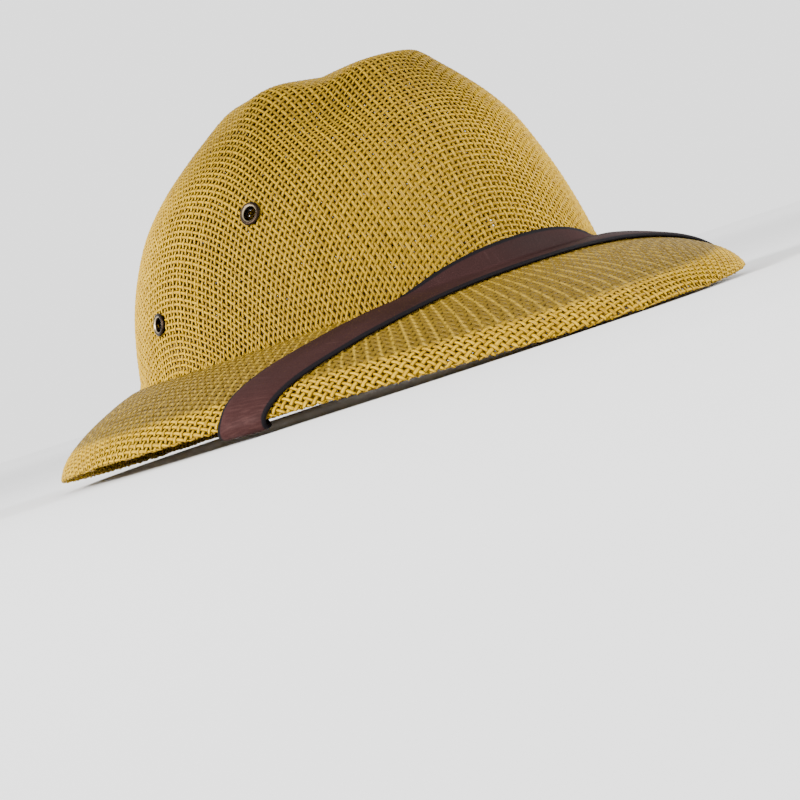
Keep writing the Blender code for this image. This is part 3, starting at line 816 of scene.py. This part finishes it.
class Nodes:
    """Short ways to add shader nodes to one material."""

    def __init__(self, name):
        self.material = bpy.data.materials.new(name)
        self.material.use_nodes = True
        self.tree = self.material.node_tree
        self.shader = self.tree.nodes["Principled BSDF"]

    def add(self, kind, inputs=(), **settings):
        node = self.tree.nodes.new(kind)
        for key, value in settings.items():
            setattr(node, key, value)
        for slot, value in dict(inputs).items():
            self.feed(node.inputs[slot], value)
        return node

    def feed(self, socket, value):
        if isinstance(value, bpy.types.NodeSocket):
            self.tree.links.new(value, socket)
        else:
            socket.default_value = value

    def attribute(self, name, output="Fac"):
        return self.add("ShaderNodeAttribute", attribute_name=name).outputs[output]

    def spot(self):
        return self.add("ShaderNodeTexCoord").outputs["Object"]

    def split(self, vector):
        return self.add("ShaderNodeSeparateXYZ", {0: vector}).outputs

    def scaled(self, vector, scales):
        node = self.add("ShaderNodeVectorMath", {0: vector, 1: scales}, operation="MULTIPLY")
        return node.outputs[0]

    def noise(self, vector, scales, detail, roughness=0.55):
        node = self.add("ShaderNodeTexNoise", {"Vector": self.scaled(vector, scales), "Scale": 1.0,
                                               "Detail": detail, "Roughness": roughness})
        return node.outputs["Fac"]

    def ramp(self, value, low, high, to_low=0.0, to_high=1.0):
        node = self.add("ShaderNodeMapRange", {"Value": value, "From Min": low, "From Max": high,
                                               "To Min": to_low, "To Max": to_high})
        return node.outputs["Result"]

    def maths(self, kind, a, b=0.0):
        return self.add("ShaderNodeMath", {0: a, 1: b}, operation=kind).outputs[0]

    def mix(self, share, a, b):
        node = self.add("ShaderNodeMix", data_type="RGBA")
        for slot, value in (("Factor_Float", share), ("A_Color", a), ("B_Color", b)):
            self.feed(next(s for s in node.inputs if s.identifier == slot), value)
        return next(s for s in node.outputs if s.identifier == "Result_Color")

    def bump(self, height, strength, distance):
        node = self.add("ShaderNodeBump", {"Height": height, "Strength": strength,
                                           "Distance": distance})
        return node.outputs["Normal"]

    def finish(self, **inputs):
        for slot, value in inputs.items():
            title = slot.replace("_", " ").title().replace("Ior", "IOR")
            self.feed(self.shader.inputs[title], value)
        return self.material


def straw_material():
    """Streaked straw with painted shade at dips, strand borders and shaded parts, and painted rib
    highlights.
    """
    n = Nodes("golden straw")
    fibre = n.attribute("fibre", "Vector")
    streak = n.noise(fibre, (2.2, 160.0, 9.0), 4.0)
    blotch = n.noise(fibre, (0.4, 45.0, 3.0), 2.0)
    border = n.maths("ABSOLUTE", n.split(fibre)["X"])
    colour = n.mix(n.ramp(n.attribute("tone"), 0.0, 1.0), STRAW_DARK, STRAW_LIGHT)
    colour = n.mix(n.ramp(streak, 0.35, 0.75), colour, STRAW_STREAK)
    colour = n.mix(n.ramp(blotch, 0.58, 0.80, 0.0, 0.55), colour, STRAW_BLOTCH)
    # Painted shade where a strand dips under the other set.
    colour = n.mix(n.ramp(n.attribute("level"), 0.0, 0.6, 0.60, 0.0), colour, STRAW_DIP_SHADE)
    # Painted shade along each strand's borders, where it rounds away from the light.
    colour = n.mix(n.ramp(border, 0.45, 0.95, 0.0, 0.75), colour, STRAW_BORDER_SHADE)
    # Painted shade where the shade values ask: the crown's top and middle face, and the flat upper
    # brim.
    colour = n.mix(n.ramp(n.attribute("shade"), 0.0, 1.0, 0.0, 0.85), colour, STRAW_SHADED)
    # Painted highlight along the brim's radial ribs, on the flat upper brim only.
    place = n.split(n.spot())
    turn = n.maths("ARCTAN2", place["X"], place["Y"])
    stripe = n.maths("PINGPONG", n.maths("MULTIPLY", turn, BRIM_RIBS / math.pi), 1.0)
    rib = n.maths("MULTIPLY", n.ramp(stripe, 0.68, 0.96), n.attribute("ribbed"))
    colour = n.mix(n.maths("MULTIPLY", rib, 0.40), colour, STRAW_RIB_HIGHLIGHT)
    return n.finish(base_color=colour, roughness=n.ramp(streak, 0.3, 0.8, 0.36, 0.50),
                    normal=n.bump(streak, 0.5, 0.0001), specular_ior_level=0.12)


def lining_material():
    """Fine tan cloth with two crossing sets of threads and painted shade between them."""
    n = Nodes("tan cloth")
    cloth = n.attribute("cloth", "Vector")
    threads = [
        n.add("ShaderNodeTexWave", {"Vector": n.scaled(cloth, (1000.0, 1000.0, 1000.0)),
                                    "Scale": 0.55, "Distortion": 0.8, "Detail": 2.0},
              bands_direction=axis).outputs["Fac"]
        for axis in "XY"]
    height = n.maths("MAXIMUM", *threads)
    patch = n.noise(cloth, (60.0, 60.0, 60.0), 4.0)
    colour = n.mix(n.ramp(patch, 0.3, 0.7), CLOTH_DARK, CLOTH_LIGHT)
    # Painted shade in the gaps between threads.
    colour = n.mix(n.ramp(height, 0.2, 1.0, 0.55, 0.0), colour, CLOTH_GAP_SHADE)
    return n.finish(base_color=colour, roughness=0.85, normal=n.bump(height, 0.8, 0.0003))


def strap_material():
    """Brown leather with dark edges, rubbed, creased and with painted sheen where it folds round
    the brim.
    """
    n = Nodes("brown strap leather")
    where = n.attribute("strap", "Vector")
    edge, fold = n.attribute("edge"), n.attribute("fold")
    grain = n.add("ShaderNodeTexVoronoi",
                  {"Vector": n.scaled(where, (1900.0, 1500.0, 1.0)), "Scale": 1.0},
                  feature="SMOOTH_F1").outputs["Distance"]
    crease = n.noise(where, (90.0, 420.0, 1.0), 4.0)
    rub = n.noise(where, (45.0, 22.0, 1.0), 3.0)
    wrinkle = n.noise(where, (130.0, 900.0, 1.0), 4.0, 0.65)
    # Wear and painted sheen in light patches near the folds round the brim.
    lightened = n.maths("MULTIPLY", fold, n.ramp(wrinkle, 0.45, 0.75))
    colour = n.mix(n.ramp(rub, 0.3, 0.75), STRAP_DARK, STRAP_LIGHT)
    colour = n.mix(n.ramp(crease, 0.62, 0.80, 0.0, 0.35), colour, STRAP_CREASE)
    colour = n.mix(n.maths("MULTIPLY", fold, 0.4), colour, STRAP_FOLD)
    colour = n.mix(n.maths("MULTIPLY", lightened, 0.30), colour, STRAP_WEAR_AND_SHEEN)
    colour = n.mix(n.ramp(edge, 0.16, 0.32), colour, STRAP_EDGE)
    height = n.maths("ADD", n.maths("MULTIPLY", grain, 0.6), crease)
    height = n.maths("ADD", height, n.maths("MULTIPLY", wrinkle, fold))
    return n.finish(base_color=colour, roughness=n.ramp(rub, 0.3, 0.8, 0.58, 0.72),
                    normal=n.bump(height, 0.5, 0.0003), specular_ior_level=0.04)


def eyelet_material():
    """Dark bronze with a painted highlight ring."""
    n = Nodes("dark bronze")
    wear = n.noise(n.spot(), (700.0, 700.0, 700.0), 4.0)
    colour = n.mix(n.ramp(wear, 0.35, 0.75), BRONZE_DARK, BRONZE_LIGHT)
    # Painted highlight ring from the bright values.
    colour = n.mix(n.attribute("bright"), colour, BRONZE_HIGHLIGHT)
    return n.finish(base_color=colour, metallic=0.95, roughness=n.ramp(wear, 0.3, 0.8, 0.30, 0.45),
                    normal=n.bump(wear, 0.15, 0.0001))


def thread_material():
    n = Nodes("brown thread")
    twist = n.noise(n.spot(), (2500.0, 2500.0, 2500.0), 2.0)
    colour = n.mix(n.ramp(twist, 0.3, 0.7), THREAD_DARK, THREAD_LIGHT)
    return n.finish(base_color=colour, roughness=0.8, normal=n.bump(twist, 0.5, 0.0001))


def floor_material():
    """Pale floor that glows a little far off, where it meets the sky."""
    n = Nodes("pale floor")
    spot = n.spot()
    far = n.add("ShaderNodeVectorMath", {0: spot}, operation="LENGTH").outputs["Value"]
    colour = n.mix(n.noise(spot, (6.0, 6.0, 6.0), 2.0), FLOOR_DARK, FLOOR_LIGHT)
    colour = n.mix(n.ramp(far, 0.6, 3.5), colour, FLOOR_FAR)
    return n.finish(base_color=colour, roughness=0.7, emission_color=WHITE,
                    emission_strength=n.ramp(far, 0.9, 5.0, 0.0, 0.56))


# Making the pieces

def put_on(pieces, material, slot, *nodes):
    for piece in pieces:
        piece.data.materials.append(material)
        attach(piece, "root")
        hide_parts(*nodes)


straw = straw_material()
put_on(weave("crown_straw", crown_cloth()) + weave("brim_straw", brim_cloth()),
       straw, "straw", "straw_shell")
cloth, stitches = lining(), seam()
put_on([cloth], lining_material(), "lining", "brim_lining")
put_on([stitches], thread_material(), "lining", "brim_lining")
bronze = eyelet_material()
for seat_name in SEATS:
    put_on([eyelet(seat_name)], bronze, "eyelet", seat_name)
put_on([strap()], strap_material(), "strap", "chin_strap")


# Floor, lights and camera

def towards(azimuth, elevation):
    """Unit vector from the hat out to an azimuth and elevation."""
    a, e = math.radians(azimuth), math.radians(elevation)
    return Vector((math.sin(a) * math.cos(e), -math.cos(a) * math.cos(e), math.sin(e)))


def stage_floor():
    points = [(x, y, 0.0) for y in np.linspace(-FLOOR_HALF, FLOOR_HALF, FLOOR_ROWS)
              for x in (-FLOOR_HALF, FLOOR_HALF)]
    floor = new_mesh("floor", points, grid_faces(FLOOR_ROWS, 2))
    floor.rotation_euler = (0, 0, math.radians(CAMERA_AZIMUTH))
    floor.data.materials.append(floor_material())


def area_light(name, azimuth, elevation, distance, size, power):
    place = towards(azimuth, elevation) * distance
    light = bpy.data.lights.new(name, "AREA")
    light.shape = "DISK"
    light.size = size
    light.energy = power
    lamp = bpy.data.objects.new(name, light)
    lamp.location = place + Vector((0, 0, LAMP_AIM_HEIGHT))
    lamp.rotation_euler = place.to_track_quat("Z", "Y").to_euler()
    bpy.context.collection.objects.link(lamp)


def make_world():
    """White sky, twice as bright low down as overhead."""
    world = bpy.data.worlds.new("studio")
    world.use_nodes = True
    bpy.context.scene.world = world
    tree = world.node_tree
    split = tree.nodes.new("ShaderNodeSeparateXYZ")
    tree.links.new(tree.nodes.new("ShaderNodeTexCoord").outputs["Generated"], split.inputs[0])
    height = tree.nodes.new("ShaderNodeMapRange")
    for slot, value in (("From Min", 0.15), ("From Max", 0.75), ("To Min", 2.0), ("To Max", 1.0)):
        height.inputs[slot].default_value = value
    background = tree.nodes["Background"]
    tree.links.new(split.outputs["Z"], height.inputs["Value"])
    tree.links.new(height.outputs["Result"], background.inputs["Strength"])
    background.inputs["Color"].default_value = WHITE


def make_camera():
    """Camera at the photograph's angle, rolled as the photograph is."""
    centre, roll = Vector(CAMERA_CENTRE), math.radians(CAMERA_ROLL)
    away = towards(CAMERA_AZIMUTH, CAMERA_ELEVATION)
    place = centre + away * CAMERA_DISTANCE
    level = Vector((0, 0, 1)).cross(away).normalized()
    aim = centre + level * AIM_RIGHT + Vector((0, 0, AIM_UP))
    back = (place - aim).normalized()
    level = Vector((0, 0, 1)).cross(back).normalized()
    upright = back.cross(level)
    right = level * math.cos(roll) - upright * math.sin(roll)
    up = level * math.sin(roll) + upright * math.cos(roll)
    data = bpy.data.cameras.new("camera")
    data.lens = CAMERA_LENS
    data.sensor_width = CAMERA_SENSOR
    data.clip_start, data.clip_end = CAMERA_CLIP
    camera = bpy.data.objects.new("camera", data)
    turn = Matrix((right, up, back)).transposed().to_4x4()
    camera.matrix_world = Matrix.Translation(place) @ turn
    bpy.context.collection.objects.link(camera)
    bpy.context.scene.camera = camera


make_camera()
stage_floor()
area_light("key", azimuth=-92, elevation=22, distance=2.4, size=0.8, power=150)
area_light("fill", azimuth=44, elevation=14, distance=2.6, size=0.9, power=110)
make_world()
